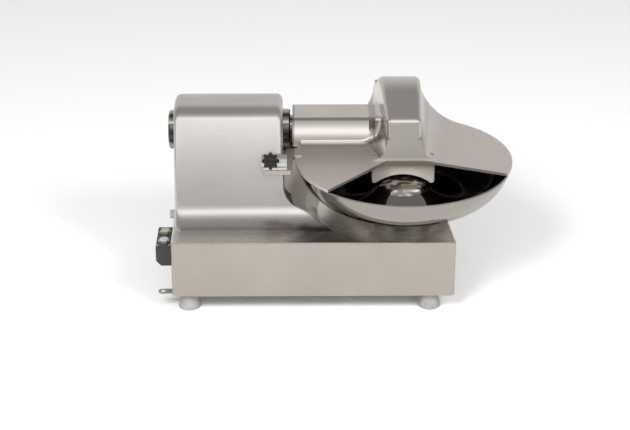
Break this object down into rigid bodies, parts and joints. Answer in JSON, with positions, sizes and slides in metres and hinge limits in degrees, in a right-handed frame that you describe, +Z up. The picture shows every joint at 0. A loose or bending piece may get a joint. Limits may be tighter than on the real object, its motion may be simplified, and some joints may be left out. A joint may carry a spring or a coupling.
{
  "type": "meat bowl cutter",
  "caption": "Table-top bowl cutter: a shallow turning bowl passes under a hinged lid with a guard over spinning knives, beside a cast drive housing.",
  "frame": {"origin": "bottom centre of the bounding box, on the surface the feet stand on", "axes": "+X from the drive housing towards the bowl, +Y to the back, +Z up"},
  "size_m": [0.867, 0.572, 0.478],
  "materials": {
    "cast_aluminium": "satin",
    "lid_aluminium": "satin",
    "sheet_steel": "matt",
    "grey_rubber": "matt",
    "plated_steel": "satin",
    "bearing_steel": "satin",
    "black_rubber": "matt",
    "grey_paint": "satin",
    "dark_panel": "satin",
    "black_plastic": "satin",
    "cast_iron": "matt",
    "stainless": "polished",
    "blade_steel": "polished",
    "bronze": "satin",
    "green_plastic": "gloss",
    "pale_plastic": "gloss"
  },
  "bodies": {
    "frame": {"housing": "cast_aluminium", "base_plate": "sheet_steel", "rubber_foot_1": "grey_rubber", "rubber_foot_2": "grey_rubber", "rubber_foot_3": "grey_rubber", "rubber_foot_4": "grey_rubber", "foot_bolts": "plated_steel", "foot_washers": "plated_steel", "hold_down_strap": "plated_steel", "hinge_bracket": "cast_aluminium", "hinge_screws": "plated_steel", "attachment_hub": "cast_aluminium", "shaft_bearings": "bearing_steel", "bearing_collar": "cast_aluminium", "shaft_seal": "black_rubber", "spindle_carrier": "cast_aluminium", "spindle_bearings": "bearing_steel", "cap_screws": "plated_steel", "motor_frame": "grey_paint", "motor_stator": "bearing_steel", "motor_bells": "grey_paint", "motor_cradle": "grey_paint", "worm_blocks": "cast_aluminium", "drive_belt": "black_rubber", "keeper": "plated_steel", "switch_box": "cast_aluminium", "switch_panel": "dark_panel", "panel_screws": "plated_steel", "button_bezels": "bearing_steel", "contact_blocks": "black_plastic", "cable_gland": "black_plastic"},
    "drive_shaft": {"motor_rotor": "bearing_steel", "motor_pulley": "cast_iron", "shaft_coupling": "plated_steel", "worm_shaft": "bearing_steel", "worm": "bearing_steel"},
    "knife_rotor": {"knife_shaft": "stainless", "knife_1": "blade_steel", "knife_2": "blade_steel", "knife_3": "blade_steel", "knife_spacers": "stainless", "knife_nut": "stainless", "shaft_pulley": "cast_iron"},
    "turntable": {"bowl": "stainless", "bowl_hub": "stainless", "bowl_spindle": "bearing_steel", "bowl_drive_pins": "bearing_steel", "spindle_nut": "plated_steel", "worm_wheel": "bronze", "drip_skirt": "stainless"},
    "lid_assembly": {"lid": "lid_aluminium", "splash_comb": "lid_aluminium", "comb_screws": "plated_steel", "hinge_pin": "stainless", "latch_block": "lid_aluminium"},
    "lock_knob": {"star_knob": "black_plastic", "lock_stud": "stainless"},
    "clamp_nut": {"lock_nut": "plated_steel"},
    "start_push": {"start_button": "green_plastic"},
    "stop_push": {"stop_button": "pale_plastic"}
  },
  "joints": [
    {"name": "motor_spin", "type": "hinge", "parent": "frame", "child": "drive_shaft", "pos_m": [-0.2315, 0.04699, 0.128], "axis": [1, 0, 0], "continuous": true},
    {"name": "knife_spin", "type": "hinge", "parent": "frame", "child": "knife_rotor", "pos_m": [-0.2315, 0.12099, 0.347], "axis": [1, 0, 0], "continuous": true},
    {"name": "bowl_spin", "type": "hinge", "parent": "frame", "child": "turntable", "pos_m": [0.1685, -0.02301, 0.188], "axis": [0, 0, 1], "continuous": true},
    {"name": "lid_hinge", "type": "hinge", "parent": "frame", "child": "lid_assembly", "pos_m": [0.1035, 0.26899, 0.331], "axis": [-1, 0, 0], "range_deg": [0, 95]},
    {"name": "lock_knob_turn", "type": "hinge", "parent": "lid_assembly", "child": "lock_knob", "pos_m": [-0.1555, -0.09201, 0.358], "axis": [0, 0.9632, -0.2689], "range_deg": [0, 960]},
    {"name": "clamp_nut_slide", "type": "slide", "parent": "lid_assembly", "child": "clamp_nut", "axis": [0, -0.9632, 0.2689], "range_m": [0, 0.004]},
    {"name": "start_press", "type": "slide", "parent": "frame", "child": "start_push", "axis": [0, 0, -1], "range_m": [0, 0.004], "stiffness_N_per_m": 500, "springref_m": -0.003},
    {"name": "stop_press", "type": "slide", "parent": "frame", "child": "stop_push", "axis": [0, 0, -1], "range_m": [0, 0.004], "stiffness_N_per_m": 500, "springref_m": -0.003}
  ],
  "couplings": [
    {"joint": "knife_spin", "follows": "motor_spin", "ratio": 1},
    {"joint": "bowl_spin", "follows": "motor_spin", "ratio": 0.017857},
    {"joint": "clamp_nut_slide", "follows": "lock_knob_turn", "m_per_rad": 0.00023873}
  ]
}
